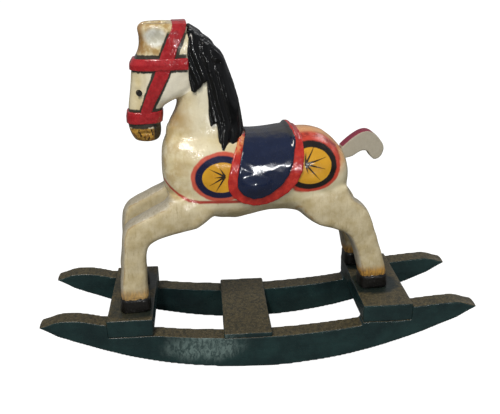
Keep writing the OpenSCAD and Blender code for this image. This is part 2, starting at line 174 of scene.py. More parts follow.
def waves(p, size, seed):
    """A smooth uneven field, about -1 to 1, with lumps of this size."""
    rng = np.random.default_rng(seed)
    total = np.zeros(len(p))
    for _ in range(WAVE_COUNT):
        way = rng.normal(size=3)
        way *= 2 * math.pi / (size * rng.uniform(*WAVE_LENGTHS)) / np.linalg.norm(way)
        total += np.sin(p @ way + rng.uniform(0, 2 * math.pi))
    return total / WAVE_SCALE


def dent(p, middle, radii):
    """1 at the middle, fading to 0 at these radii; x counts on both sides."""
    q = (np.column_stack((np.abs(p[:, 0]), p[:, 1], p[:, 2])) - middle) / radii
    return ramp(np.sqrt((q ** 2).sum(axis=1)), 1, 0)


def cut(obj, tool, how):
    mod = obj.modifiers.new("cut", "BOOLEAN")
    mod.operation, mod.solver, mod.object = how, "MANIFOLD", tool
    return settle(obj)


def prism(outline, x0, x1):
    """A cutter: this outline in y and z, in millimetres, between two places across."""
    bm = bmesh.new()
    near = [bm.verts.new((x0 * MM, y * MM, z * MM)) for y, z in outline]
    far = [bm.verts.new((x1 * MM, y * MM, z * MM)) for y, z in outline]
    n = len(outline)
    bm.faces.new(near)
    bm.faces.new(far[::-1])
    for i in range(n):
        bm.faces.new((near[i], far[i], far[(i + 1) % n], near[(i + 1) % n]))
    bmesh.ops.recalc_face_normals(bm, faces=bm.faces)
    mesh = bpy.data.meshes.new("cutter")
    bm.to_mesh(mesh)
    bm.free()
    return show("cutter", mesh, HORSE)


def drop(obj):
    mesh = obj.data
    bpy.data.objects.remove(obj)
    bpy.data.meshes.remove(mesh)


def hand_in(obj, nodes, material):
    """The piece takes its place on the toy for these CAD nodes."""
    obj.data.materials.clear()
    obj.data.materials.append(material)
    obj.data.polygons.foreach_set("use_smooth", np.ones(len(obj.data.polygons), bool))
    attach(obj, "root")
    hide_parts(*nodes)
    return obj


# ---------- shader helpers ----------
def tone(code):
    """A colour from its usual six-figure code, in the linear numbers that shaders take."""
    parts = [int(code[i : i + 2], 16) / 255 for i in (0, 2, 4)]
    lin = [c / 12.92 if c <= 0.04045 else ((c + 0.055) / 1.055) ** 2.4 for c in parts]
    return (*lin, 1.0)


class Num:
    """A number worked out by shader nodes, with ordinary arithmetic."""

    def __init__(self, paint, socket):
        self.paint, self.socket = paint, socket

    def __add__(self, o):
        return self.paint.math("ADD", self, o)

    def __sub__(self, o):
        return self.paint.math("SUBTRACT", self, o)

    def __rsub__(self, o):
        return self.paint.math("SUBTRACT", o, self)

    def __mul__(self, o):
        return self.paint.math("MULTIPLY", self, o)

    def __truediv__(self, o):
        return self.paint.math("DIVIDE", self, o)


# the colour mixer's sockets
SHARE, FIRST, SECOND, MIXED = 0, 6, 7, 2
# a brush line that thins out would reach nothing at this many times its length
THIN_OUT = 1.3


class Paint:
    """A material under construction. Its coordinates are the piece's own, in millimetres."""

    def __init__(self, name):
        self.material = bpy.data.materials.new(name)
        self.material.use_nodes = True
        self.tree = self.material.node_tree
        self.tree.nodes.clear()
        coords = self.node("TexCoord")
        scale = self.node("VectorMath", operation="SCALE")
        self.tree.links.new(coords.outputs["Object"], scale.inputs[0])
        scale.inputs["Scale"].default_value = 1 / MM
        self.place = scale.outputs[0]
        split = self.node("SeparateXYZ")
        self.tree.links.new(self.place, split.inputs[0])
        self.x, self.y, self.z = (Num(self, s) for s in split.outputs)
        self.abs_x = self.math("ABSOLUTE", self.x)

    def node(self, kind, **settings):
        n = self.tree.nodes.new("ShaderNode" + kind)
        for key, value in settings.items():
            setattr(n, key, value)
        return n

    def feed(self, socket, value):
        if isinstance(value, Num):
            self.tree.links.new(value.socket, socket)
        elif isinstance(value, bpy.types.NodeSocket):
            self.tree.links.new(value, socket)
        else:
            socket.default_value = value

    def math(self, operation, *values):
        n = self.node("Math", operation=operation)
        for socket, value in zip(n.inputs, values):
            self.feed(socket, value)
        return Num(self, n.outputs[0])

    def step(self, value, start, end):
        """0 at start, 1 at end, smooth between."""
        n = self.node("MapRange", interpolation_type="SMOOTHSTEP")
        self.feed(n.inputs["Value"], value)
        self.feed(n.inputs["From Min"], start)
        self.feed(n.inputs["From Max"], end)
        return Num(self, n.outputs[0])

    def most(self, a, b):
        return self.math("MAXIMUM", a, b)

    def mix(self, share, a, b):
        n = self.node("Mix", data_type="RGBA")
        self.feed(n.inputs[SHARE], share)
        self.feed(n.inputs[FIRST], tone(a) if isinstance(a, str) else a)
        self.feed(n.inputs[SECOND], tone(b) if isinstance(b, str) else b)
        return n.outputs[MIXED]

    def stretched(self, factors):
        n = self.node("VectorMath", operation="MULTIPLY")
        self.tree.links.new(self.place, n.inputs[0])
        n.inputs[1].default_value = factors
        return n.outputs[0]

    def noise(self, size, detail=2.0, rough=0.5, twist=0.0, stretch=None):
        """Clouds of about this size in millimetres, 0 to 1."""
        n = self.node("TexNoise")
        self.tree.links.new(self.stretched(stretch) if stretch else self.place, n.inputs["Vector"])
        n.inputs["Scale"].default_value = 1 / size
        n.inputs["Detail"].default_value = detail
        n.inputs["Roughness"].default_value = rough
        n.inputs["Distortion"].default_value = twist
        return Num(self, n.outputs[0])

    def from_middle(self, y, z, ry, rz):
        """1 on an upright ellipse seen from the side."""
        u, v = (self.y - y) / ry, (self.z - z) / rz
        return self.math("SQRT", u * u + v * v)

    def stroke(self, a, b, width, blur=0.5, taper=True):
        """A brush line between two points seen from the side, which may thin towards the second."""
        dy, dz = b[0] - a[0], b[1] - a[1]
        length = math.hypot(dy, dz)
        along = ((self.y - a[0]) * dy + (self.z - a[1]) * dz) / length
        off = self.math("ABSOLUTE", ((self.z - a[1]) * dy - (self.y - a[0]) * dz) / length)
        thin = self.step(along, length * THIN_OUT, 0) * width if taper else width
        line = self.step(off - thin, blur, -blur)
        spare = 0 if taper else width
        start = self.step(along, -blur - spare, blur - spare)
        return line * start * self.step(along, length + blur + spare, length - blur + spare)

    def worn_edge(self, low, high):
        """Where the surface bulges sharply."""
        n = self.node("NewGeometry")
        return self.step(Num(self, n.outputs["Pointiness"]), low, high)

    def facing(self, index):
        """The part of the surface's direction along the piece's own axis."""
        coords = self.node("TexCoord")
        split = self.node("SeparateXYZ")
        self.tree.links.new(coords.outputs["Normal"], split.inputs[0])
        return Num(self, split.outputs[index])

    def done(
        self, colour, rough, relief=None, depth=0.1, coat=0.0, coat_rough=0.1, metal=0.0, specular=0.5
    ):
        """The finished material: its relief is this deep in millimetres."""
        shader = self.node("BsdfPrincipled")
        self.feed(shader.inputs["Base Color"], colour)
        self.feed(shader.inputs["Roughness"], rough)
        shader.inputs["Metallic"].default_value = metal
        shader.inputs["Coat Weight"].default_value = coat
        shader.inputs["Coat Roughness"].default_value = coat_rough
        shader.inputs["Specular IOR Level"].default_value = specular
        if relief is not None:
            bump = self.node("Bump")
            bump.inputs["Strength"].default_value = 1.0
            bump.inputs["Distance"].default_value = depth * MM
            self.feed(bump.inputs["Height"], relief)
            self.tree.links.new(bump.outputs[0], shader.inputs["Normal"])
            if coat:
                self.tree.links.new(bump.outputs[0], shader.inputs["Coat Normal"])
        out = self.node("OutputMaterial")
        self.tree.links.new(shader.outputs[0], out.inputs[0])
        return self.material


# ---------- places on the horse, in millimetres: y runs to the rear, z up ----------
LEFT_EAR = (-62.8, 224.4)
EYE_RING = (-75.3, 190.2)
EYE_RING_RADIUS = 2.2
LIPS_TOP = 166.5
CHIN_FRONT = -67.6
# the headstall runs down the cheek through this point, leaning back this much for each millimetre up
CHEEK_STRAP = (-60, 203)
CHEEK_STRAP_LEAN = 0.449
NECK_FOOT = 160
HOOF_TOP = 52
REAR_HOOF_RISE = 2
MATT_LINE = 112.5
SADDLE_TOP = 159.6

# a wheel: its middle, the half width and half height of each zone, its ring's colour, the point that
# its rays leave, their reach, each ray's direction in degrees and length, and the flank it lies in
WHEELS = (
    {
        "middle": (-26.4, 135.6),
        "red": (20.4, 17.2),
        "ring": (17.2, 14.4),
        "gold": (12.9, 10.5),
        "ring_tone": "10153A",
        "hub": (-24.0, 136.4),
        "reach": 11.5,
        "rays": ((151, 1.0), (209, 1.05), (238, 1.05), (184, 0.6), (120, 0.6)),
        "flank": (-50, -8),
    },
    {
        "middle": (33.5, 139),
        "red": (21.8, 18.2),
        "ring": (18.4, 15.8),
        "gold": (14.6, 12.3),
        "ring_tone": "17100C",
        "hub": (29.8, 140.8),
        "reach": 13.5,
        "rays": ((58, 1.0), (13, 1.12), (-17, 1.05), (-49, 1.1), (85, 0.55), (-75, 0.5)),
        "flank": (20, 60),
    },
)
RAY_WIDTH, RAY_BLUR = 0.7, 0.28

# the red line from the saddle along the flank's lower edge and up the breast, thinning as it goes
BREAST_LINE = (
    (-12, 118.2), (-30, 118.4), (-41, 119.0), (-48, 120.8), (-54, 124.0), (-59, 128.0), (-63, 132.5),
)
LINE_WIDTH, LINE_THINNING, LINE_BLUR = 1.15, 0.09, 0.6

# middles of the hooves on their boards, seen from above, and the half width of the paint round them
HOOVES = ((23.1, -86.1), (-15.8, -89.4), (8.3, 83.4), (-30.6, 80))
POOL = (14.5, 17.5)
BOARD_TOP = 39

# the gloss of the cream paint
LUMP_DEPTH = 0.28
CREAM_COAT = {"coat": 0.25, "coat_rough": 0.12}
ENAMEL_COAT = {"coat": 0.5, "coat_rough": 0.07}
ENAMEL_DEPTH = 0.22


# ---------- materials ----------
def body_paint(p):
    """Cream gloss with a yellow-brown wash, as on the neck and the back."""
    colour = p.mix(p.step(p.noise(16, 3, 0.6), 0.35, 0.75), "DFD6B6", "D0C296")
    streak = p.noise(5, 4, 0.6, 0.6, (1, 1.6, 0.5))
    colour = p.mix(p.step(streak, 0.54, 0.8) * 0.45, colour, "A88F58")
    speck = p.noise(0.9, 2, 0.7)
    return p.mix(p.step(speck, 0.66, 0.76) * 0.3, colour, "80683C")


def chest_wash(p, colour):
    """Brown clouds towards the front of the chest and the neck."""
    share = p.step(p.y, -30, -60) * p.step(p.noise(9, 3, 0.6), 0.36, 0.66)
    return p.mix(share * 0.6, colour, "A88A4A")


def lumps_of_gloss(p):
    return p.noise(2.6, 3, 0.55) * 0.7 + p.noise(9, 1, 0.5)


def sheen_of_gloss(p):
    return p.noise(3, 3, 0.6) * 0.2 + 0.15


def bare_paint(p):
    """Matt beige over the grain, as on the legs and the belly, with painted light: greyer where the
    faces turn up and forward, and a painted highlight along the edges between.
    """
    grain = p.noise(1.5, 4, 0.7, 0.4, (1, 1, 0.2))
    colour = p.mix(p.step(p.noise(9, 3, 0.6), 0.3, 0.75), "D0C4A2", "B7A77C")
    colour = p.mix(p.step(grain, 0.5, 0.75) * 0.5, colour, "98875C")
    colour = p.mix(p.step(p.noise(0.7, 2, 0.6), 0.64, 0.74) * 0.4, colour, "7E6C46")
    # painted light: the faces turned up and forward are made greyer, as lit by cool light
    ahead = p.step(p.facing(1), -0.3, -0.75)
    above = p.step(p.facing(2), 0.35, 0.75)
    top = p.most(ahead, above)
    # a painted highlight, ochre, along the edges where those faces meet the sides
    edge_highlight = p.step(top, 0.02, 0.3) * p.step(top, 0.75, 0.4) * p.step(p.noise(5, 3, 0.6), 0.42, 0.6)
    colour = p.mix(edge_highlight * 0.7, colour, "A5803C")
    grey = p.mix(p.step(grain, 0.4, 0.7), "A09C90", "837E72")
    return p.mix(top * 0.75, colour, grey), grain


def rump(p, colour, wobble, side):
    """An orange glow, then deep red round the rear wheel and up behind the saddle."""
    behind = p.step(p.y, 20, 23)
    glow = p.step(p.from_middle(33, 145, 29, 24) + wobble * 3, 1.1, 0.8)
    glow = glow * p.step(p.z, 126, 142) * behind
    colour = p.mix(glow * 0.7, colour, "DB8A3E")
    band = p.step(p.from_middle(31.2, 142, 24.6, 21.0) + wobble * 2, 1.03, 0.93)
    band = p.most(band, p.stroke((24, 146), (33, 172), 8.5, 2.0, taper=False)) * behind
    red = p.mix(p.step(p.noise(5, 2, 0.5), 0.35, 0.65), "8E1C16", "C23A26")
    return p.mix(band * side * 0.96, colour, red)


def wheel_paint(p, colour, wheel, wobble, side):
    """A red disc, a dark ring on it, a golden middle, and thin dark rays."""
    start, end = wheel["flank"]
    here = p.step(p.y, start, start + 1) * p.step(p.y, end, end - 1) * side
    middle = wheel["middle"]
    red = p.step(p.from_middle(*middle, *wheel["red"]) + wobble, 1.0, 0.94) * here
    colour = p.mix(red * 0.92, colour, p.mix(p.noise(4, 2, 0.5), "BC3020", "D0503A"))
    ring = p.step(p.from_middle(*middle, *wheel["ring"]) + wobble * 0.6, 1.03, 0.96) * here
    colour = p.mix(ring, colour, wheel["ring_tone"])
    gold = p.step(p.from_middle(*middle, *wheel["gold"]) + wobble * 0.4, 1.0, 0.95) * here
    colour = p.mix(gold, colour, p.mix(p.noise(9, 2, 0.5), "E3AC2A", "C48C20"))
    hub_y, hub_z = wheel["hub"]
    for angle, length in wheel["rays"]:
        turn = math.radians(angle)
        reach = wheel["reach"] * length
        tip = (hub_y + math.cos(turn) * reach, hub_z + math.sin(turn) * reach)
        colour = p.mix(p.stroke(wheel["hub"], tip, RAY_WIDTH, RAY_BLUR) * here, colour, "241809")
    return colour


def wheels(p, colour):
    """The painted wheels before and behind the saddle, and the red lines round them."""
    wobble = (p.noise(6, 1, 0.5) - 0.5) * 0.09
    side = p.step(p.abs_x, 6, 12)
    colour = rump(p, colour, wobble, side)
    for wheel in WHEELS:
        colour = wheel_paint(p, colour, wheel, wobble, side)
    line = 0.0
    for i, (start, end) in enumerate(zip(BREAST_LINE, BREAST_LINE[1:])):
        part = p.stroke(start, end, LINE_WIDTH - LINE_THINNING * i, LINE_BLUR, taper=False)
        line = p.most(line, part)
    return p.mix(line * p.step(p.abs_x, 8, 13) * 0.95, colour, "A8281E")


def lower_body(p, colour):
    """The gloss gives way to the matt legs and belly along a line that rises fore and aft."""
    rise = p.step(p.y, 18, 52) * 7 + p.step(p.y, -46, -62) * 9
    bound = rise + MATT_LINE + p.noise(7, 2, 0.5) * 2
    matt = p.step(p.z - bound, 2.0, -2.0)
    bare, grain = bare_paint(p)
    return p.mix(matt, colour, bare), matt, grain


def flank_material(name):
    """The torso and the legs: painted wheels, matt belly and legs, golden pasterns, black hooves."""
    p = Paint(name)
    colour = chest_wash(p, body_paint(p))
    colour, matt, grain = lower_body(p, wheels(p, colour))
    rear = p.step(p.y, -10, 10)
    height = p.z + (p.noise(3, 2, 0.6) - 0.5) * 2.4 - rear * REAR_HOOF_RISE - HOOF_TOP
    stripes = p.step(p.noise(1.5, 3, 0.6, 0.0, (1, 1, 0.3)), 0.4, 0.65)
    pastern = p.step(height, 9.5, 3) * (rear * 0.25 + 0.65)
    colour = p.mix(pastern, colour, p.mix(stripes, "BE8C30", "80581C"))
    black = p.step(height, 0.5, -0.4)
    colour = p.mix(black, colour, "060504")
    lumps = lumps_of_gloss(p) + matt * grain * 0.6
    rough = sheen_of_gloss(p) + matt * 0.32 - black * 0.24
    return p.done(colour, rough, lumps, LUMP_DEPTH, **CREAM_COAT)


def neck_material():
    p = Paint("cream gloss, neck")
    pale = p.step(p.y, -52, -36) * p.step(p.z, NECK_FOOT, 180)
    colour = p.mix(pale * 0.5, body_paint(p), "EFEEDC")
    # painted shade down the front of the neck under the jaw
    throat = p.step(p.y + (p.z - 180) * 0.35, -42, -56) * p.step(p.z, NECK_FOOT, 174)
    colour = p.mix(throat * 0.75, colour, "8E7040")
    colour = chest_wash(p, colour)
    return p.done(colour, sheen_of_gloss(p), lumps_of_gloss(p), LUMP_DEPTH, **CREAM_COAT)


def ears(p, colour, edge):
    """A brown wash round the ears and down the forehead, painted shade in the gap between the two
    ears, and a pale painted highlight inside each ear.
    """
    wash = p.step(p.z, 210, 216) * p.step(p.noise(5, 3, 0.6), 0.34, 0.58) * p.step(p.y, -50, -56)
    colour = p.mix(wash * 0.75, colour, "A07A34")
    # painted shade in the gap between the two ears, along their front edge
    ear_gap_shade = p.step(p.y, -68.5, -72) * p.step(p.z, 212, 217)
    colour = p.mix(ear_gap_shade * 0.75, colour, "94682A")
    # a pale painted highlight inside each ear
    ear_highlight = p.step(p.from_middle(*LEFT_EAR, 7.4, 6.4) + edge * 0.08, 1.16, 0.62)
    ear_highlight = ear_highlight * p.step(p.abs_x, 4, 7)
    pale = p.mix(p.step(p.noise(4, 2, 0.5), 0.35, 0.65), "E6E8DE", "C4C4B4")
    return p.mix(ear_highlight * 0.95, colour, pale)


def strap_edges(p, colour, edge):
    """Dark paint showing on both sides of the straps."""
    brow_z = p.z + edge
    brow = p.step(brow_z, 202.2, 203.0) * p.step(brow_z, 214.2, 213.2) * p.step(p.y, -43, -45)
    middle = (p.z - CHEEK_STRAP[1]) * CHEEK_STRAP_LEAN + CHEEK_STRAP[0]
    half = p.step(p.z, 176, 210) * 1.2 + 3.5
    off = p.math("ABSOLUTE", p.y - middle) - half + edge * 0.6
    cheek = p.step(off, 2.0, 1.3) * p.step(p.z, 229, 226) * p.step(p.abs_x, 4, 6)
    nose_z = p.z + edge * 0.6
    nose = p.step(nose_z, 166.8, 167.8) * p.step(nose_z, 180.0, 179.0)
    dark = p.most(p.most(brow, cheek), nose)
    return p.mix(dark * 0.95, colour, "0F0D0C")


def muzzle(p, colour, edge):
    """Golden-brown lips with dark strokes, and a black chin."""
    lips = p.step(p.z + edge * 0.5, LIPS_TOP + 0.5, LIPS_TOP - 0.5)
    gold = p.mix(p.step(p.noise(2.6, 3, 0.6), 0.35, 0.65), "C4983C", "8A5E22")
    colour = p.mix(lips, colour, gold)
    ticks = p.noise(2.0, 2, 0.6, 0.3, (1, 1, 0.4))
    colour = p.mix(lips * p.step(ticks, 0.54, 0.62) * 0.9, colour, "2A1608")
    chin = p.step(p.y, CHIN_FRONT - 0.8, CHIN_FRONT + 0.8) * p.step(p.z, 170, 168)
    return p.mix(chin * 0.96, colour, "0D0B0A")


def head_material():
    p = Paint("cream gloss, painted head")
    edge = (p.noise(2.6, 2, 0.5) - 0.5) * 2.4
    cheeks = p.step(p.y, -76, -62) * p.step(p.z, 216, 208)
    colour = p.mix(cheeks * 0.6, body_paint(p), "F3F1E4")
    colour = muzzle(p, strap_edges(p, ears(p, colour, edge), edge), edge)
    ring = p.step(p.from_middle(*EYE_RING, EYE_RING_RADIUS, EYE_RING_RADIUS), 1.0, 0.85)
    colour = p.mix(ring * p.step(p.abs_x, 8, 9), colour, "050505")
    return p.done(colour, sheen_of_gloss(p), lumps_of_gloss(p), LUMP_DEPTH, **CREAM_COAT)


def red_enamel(p, colour, lumps):
    return p.done(colour, p.noise(2, 2, 0.5) * 0.15 + 0.14, lumps, ENAMEL_DEPTH, **ENAMEL_COAT)


def red_material():
    p = Paint("red enamel")
    colour = p.mix(p.step(p.noise(3.2, 3, 0.6), 0.38, 0.7), "9C141E", "B2242A")
    colour = p.mix(p.step(p.noise(1.3, 2, 0.6), 0.66, 0.76) * 0.7, colour, "4A0E12")
    return red_enamel(p, colour, p.noise(1.8, 2, 0.5) + p.noise(5, 1, 0.5))


def skirt_material():
    p = Paint("red enamel, saddle border")
    colour = p.mix(p.step(p.noise(4, 3, 0.6), 0.35, 0.7), "AC1F1A", "C63426")
    # paler orange at the front of its top edge
    top = p.step(p.z, 149, 154) * p.step(p.y, -4, -9)
    colour = p.mix(top * p.step(p.noise(3, 2, 0.5), 0.35, 0.6), colour, "D98A56")
    colour = p.mix(p.step(p.noise(1.1, 2, 0.6), 0.68, 0.76) * 0.6, colour, "5A1512")
    return red_enamel(p, colour, p.noise(2, 2, 0.5) + p.noise(6, 1, 0.5))


def seat_material():
    p = Paint("navy enamel, worn top")
    colour = p.mix(p.noise(6, 2, 0.5), "0A1530", "12203F")
    rubbed = p.step(p.z + p.noise(6, 2, 0.5) * 5, SADDLE_TOP, SADDLE_TOP + 3.6)
    colour = p.mix(rubbed * 0.9, colour, p.mix(p.noise(2, 3, 0.6), "1A1A1E", "4A4844"))
    colour = p.mix(p.step(p.noise(0.8, 2, 0.6), 0.68, 0.76) * 0.45, colour, "6A6A70")
    lumps = p.noise(2.4, 2, 0.5) * 0.5 + p.noise(10, 1, 0.5)
    rough = rubbed * 0.25 + p.noise(3, 2, 0.5) * 0.1 + 0.12
    return p.done(colour, rough, lumps, 0.06, coat=0.3, coat_rough=0.08)


def mane_material():
    p = Paint("black enamel, mane")
    colour = p.mix(p.noise(3, 3, 0.6), "030405", "08090A")
    lumps = p.noise(1.8, 2, 0.5, 0.2, (1.2, 1.2, 0.3))
    rough = p.noise(2, 2, 0.5) * 0.15 + 0.13
    return p.done(colour, rough, lumps, 0.1, coat=0.1, coat_rough=0.04, specular=0.32)


def tail_material():
    p = Paint("grey tail, maroon crest")
    colour = p.mix(p.noise(4, 4, 0.65), "BDB7A7", "A29B87")
    colour = p.mix(p.step(p.noise(0.8, 2, 0.6), 0.6, 0.72) * 0.5, colour, "8F8877")
    top = p.step(p.facing(2), 0.25, 0.55) * p.step(p.y, 84, 81) * p.step(p.abs_x, 4.4, 3.9)
    colour = p.mix(top, colour, p.mix(p.noise(7, 2, 0.5), "8E2430", "6E2A4A"))
    rough = p.noise(3, 2, 0.5) * 0.15 + 0.5
    return p.done(colour, rough, p.noise(1.2, 4, 0.7), 0.12, coat=0.05, coat_rough=0.4)


def rocker_highlight(p, colour, cloud):
    """A painted highlight on the left rocker's side: a paler patch, broken up by the cracks in its
    paint.
    """
    patch = p.step(p.from_middle(-38, 16, 34, 15) + (cloud - 0.5) * 0.9, 1.0, 0.35)
    patch = patch * p.step(p.facing(0), 0.6, 0.9) * p.step(p.x, 20, 24)
    cracks = p.step(p.noise(3, 5, 0.75, 0.8, (1, 1.3, 0.6)), 0.4, 0.6)
    return p.mix(patch * (cracks * 0.4 + 0.12), colour, "8FA6A2")


def paint_pools(p):
    """Where thick wet-looking paint lies round each hoof."""
    pools = 0.0
    for x, y in HOOVES:
        u, v = (p.x - x) / POOL[0], (p.y - y) / POOL[1]
        far = p.math("SQRT", u * u + v * v) + (p.noise(5, 2, 0.6) - 0.5) * 0.5
        pools = p.most(pools, p.step(far, 1.25, 0.95))
    return pools * p.step(p.z, BOARD_TOP - 1, BOARD_TOP + 1)


def base_material():
    p = Paint("dark green gloss, dusty tops")
    cloud = p.noise(18, 3, 0.6)
    colour = p.mix(p.step(cloud, 0.3, 0.75), "15282A", "213A3A")
    grain = p.noise(2.2, 4, 0.65, 0.2, (1, 0.12, 1))
    colour = p.mix(p.step(grain, 0.5, 0.8) * 0.4, colour, "142526")
    up = p.step(p.facing(2) + (p.noise(7, 3, 0.6) - 0.5) * 0.35, 0.55, 0.85)
    dusty = p.mix(p.step(p.noise(2.2, 4, 0.7), 0.35, 0.65), "2E2A1C", "544A30")
    colour = p.mix(up * 0.88, colour, dusty)
    speck = p.step(p.noise(0.8, 2, 0.7), 0.58, 0.68) * up
    colour = p.mix(speck * 0.5, colour, "8A8068")
    chips = p.worn_edge(0.515, 0.545) * p.step(p.noise(3.5, 3, 0.6), 0.5, 0.62)
    colour = p.mix(chips * 0.08, colour, "6E6248")
    # a painted highlight on the left rocker's side
    colour = rocker_highlight(p, colour, cloud)
    pools = paint_pools(p)
    colour = p.mix(pools * 0.9, colour, "0F1D1D")
    rough = up * (1 - pools) * 0.28 + p.noise(5, 3, 0.6) * 0.2 + 0.2
    lumps = grain * 0.6 + p.noise(7, 2, 0.5) + p.noise(1.1, 2, 0.6) * 0.5
    return p.done(colour, rough, lumps, 0.22, coat=0.12, coat_rough=0.2, specular=0.35)


def steel_material():
    p = Paint("steel, dulled")
    colour = p.mix(p.noise(0.8, 3, 0.6), "8C8C88", "5E5C58")
    colour = p.mix(p.step(p.noise(1.5, 3, 0.6), 0.55, 0.7) * 0.5, colour, "5A3A22")
    return p.done(colour, p.noise(0.7, 2, 0.5) * 0.3 + 0.3, p.noise(0.4, 2, 0.5), 0.03, metal=0.9)


def dowel_material():
    p = Paint("pale dowel wood")
    grain = p.noise(0.8, 4, 0.6, 0.3, (0.15, 1, 1))
    colour = p.mix(grain, "CDA56C", "9C7440")
    return p.done(colour, grain * 0.2 + 0.55, grain, 0.04)


def eye_material():
    p = Paint("black enamel, eyes")
    colour = p.mix(p.noise(1.2, 2, 0.5), "080808", "161412")
    rough = p.noise(1, 2, 0.5) * 0.1 + 0.12
    return p.done(colour, rough, p.noise(0.9, 2, 0.5), 0.05, coat=1.0, coat_rough=0.04)


# ---------- the carved body ----------
BODY_VOXEL = 0.7
LEG_TOP = 122
LEG_INSIDE = 11.5
# the rear end of the front legs' tops and the front end of the rear legs'
FRONT_LEG_END, REAR_LEG_END = -31, 27
# the glue line under the jaw, from the top down, and the angle at which it rises to the crest
THROAT = ((-53, 183.5), (-57, 177), (-59.8, 168), (-61.2, 162), (-62.6, 157.5))
CREST_SLOPE = math.radians(34)
CREST_LENGTH = 70
NECK_REAR = -9
NECK_FRONT = -61.8
# how far the cutters reach past the wood
OUTSIDE_X, OUTSIDE_Y, OUTSIDE_TOP, CHIN_CLEAR = 60, 150, 270, 140
LEG_CUTTER_X = 90

# carving: how deep (-) or proud (+), the middle, and the radii, in x, y and z
EAR_HOLLOW = (-2.2, (10, -62.8, 224.2), (8, 9.4, 8.4))
NOSTRIL = (-1.1, (7, -80.5, 166), (4, 2.6, 2.4))
MOUTH = (-0.9, (9, -72, 163.5), (6, 9, 1.3))
CHEEK_DIP = (-0.7, (11, -69, 184), (7, 5.5, 8))
BROW = (0.6, (11, -77, 194.5), (6, 5, 3.2))
THIGH = (0.8, (24, 44, 112), (16, 14, 14))
SHOULDER = (0.6, (24, -52, 112), (16, 14, 12))
LIP_NOTCHES = (-77.6, -70.6)


def above_belly(q):
    return ramp(q[:, 2], 108, 120)


def glue_lines(q):
    """Most at the leg tops and at the neck's foot, where the blocks meet."""
    z = q[:, 2]
    legs = ramp(z, 108, 114) * ramp(z, 130, 124)
    neck = ramp(z, 150, 155) * ramp(z, 172, 166)
    return 0.25 + 0.75 * np.maximum(legs, neck)


def leg_roots(q):
    """Where the legs run into the belly."""
    y, z = q[:, 1], q[:, 2]
    front, rear = ramp(np.abs(y + 30), 15, 6), ramp(np.abs(y - 27), 15, 6)
    return ramp(z, 92, 100) * ramp(z, 132, 124) * np.maximum(front, rear)


def carve(p, cut_of):
    depth, middle, radii = cut_of
    return depth * dent(p, middle, radii)


def shape_body(body):
    """Blends the joints and carves ears, muzzle, hooves and the unevenness of handwork."""
    relax(body, 2)
    relax(body, 5, where=above_belly)
    relax(body, 22, where=glue_lines)
    relax(body, 200, where=leg_roots)
    co = points(body)
    no = normals(body)
    p = co / MM
    _, y, z = p.T
    above_hooves = ramp(z, 50, 60)
    out = 0.30 * waves(p, 14, 1) * above_hooves + 0.14 * waves(p, 6, 2) * above_hooves
    straps = ramp(z, 200, 203) * ramp(z, 214, 211) + ramp(z, 168, 170) * ramp(z, 180, 178)
    on_head = ramp(y, -38, -46) * ramp(z, 160, 166)
    out *= 1 - 0.7 * np.clip(straps * on_head, 0, 1)
    out += carve(p, EAR_HOLLOW)
    out += carve(p, NOSTRIL)
    out += carve(p, MOUTH) * ramp(z, 160, 162)
    for notch in LIP_NOTCHES:
        out -= 3.2 * ramp(np.abs(y - notch), 1.9, 0) * ramp(z, 164.5, 160) * on_head
    # the chin rises towards the throat
    co[:, 2] += 4.4 * MM * ramp(y, -69.5, -65.5) * ramp(z, 168, 159) * on_head
    out += carve(p, CHEEK_DIP)
    out += carve(p, BROW)
    # a groove round each pastern, and the step of the hoof below it
    for here, rise in ((y < 0, 0), (y > 0, REAR_HOOF_RISE)):
        low = HOOF_TOP + rise
        out -= 0.55 * ramp(np.abs(z - low), 1.6, 0) * here
        out += 0.25 * ramp(z, low, low - 1) * here * (z < 60)
    out += carve(p, THIGH)
    out += carve(p, SHOULDER)
    co += no * (out * MM)[:, None]
    put(body, co)
    relax(body, 1)


def body_cutters():
    """The space that each of the horse's blocks but the torso takes, up to its glue lines."""
    jaw_y, jaw_z = THROAT[0]
    crest = (
        jaw_y + CREST_LENGTH * math.cos(CREST_SLOPE),
        jaw_z + CREST_LENGTH * math.sin(CREST_SLOPE),
    )
    under_chin = [(-64, 154.5), (-75, 152), (-75, CHIN_CLEAR), (-130, CHIN_CLEAR)]
    over = [(-130, OUTSIDE_TOP), (crest[0], OUTSIDE_TOP), crest]
    nape_z = jaw_z + (NECK_REAR - jaw_y) * math.tan(CREST_SLOPE)
    foot = [(NECK_REAR, NECK_FOOT), (NECK_FRONT, NECK_FOOT)]
    neck_side = [THROAT[0], (NECK_REAR, nape_z), *foot, *THROAT[3:0:-1]]
    cuts = {
        "head": prism([*THROAT, *under_chin, *over], -OUTSIDE_X, OUTSIDE_X),
        "neck": prism(neck_side, -OUTSIDE_X, OUTSIDE_X),
    }
    for side, sign in (("left", 1), ("right", -1)):
        for pair, start, end in (
            ("front", -OUTSIDE_Y, FRONT_LEG_END),
            ("rear", REAR_LEG_END, OUTSIDE_Y),
        ):
            outline = [(start, 0), (end, 0), (end, LEG_TOP), (start, LEG_TOP)]
            tool = prism(outline, LEG_INSIDE * sign, LEG_CUTTER_X * sign)
            cuts[pair + "_leg_" + side] = tool
    return cuts


def make_body():
    """One carved body, parted again at its glue lines into pieces named as their nodes."""
    legs = ["front_leg_left", "front_leg_right", "rear_leg_left", "rear_leg_right"]
    dowels = ["leg_dowels", "neck_dowel", "head_dowel"]
    blocks = gathered("carved_body", ["torso", "neck", "head", *legs, *dowels], HORSE)
    body = remeshed(blocks, BODY_VOXEL * MM)
    shape_body(body)
    cuts = body_cutters()
    made = {}
    for name, tool in cuts.items():
        part = show("horse_" + name, body.data.copy(), HORSE)
        made[name] = cut(part, tool, "INTERSECT")
    for tool in cuts.values():
        cut(body, tool, "DIFFERENCE")
    for tool in cuts.values():
        drop(tool)
    body.name = "horse_torso"
    made["torso"] = body
    return made


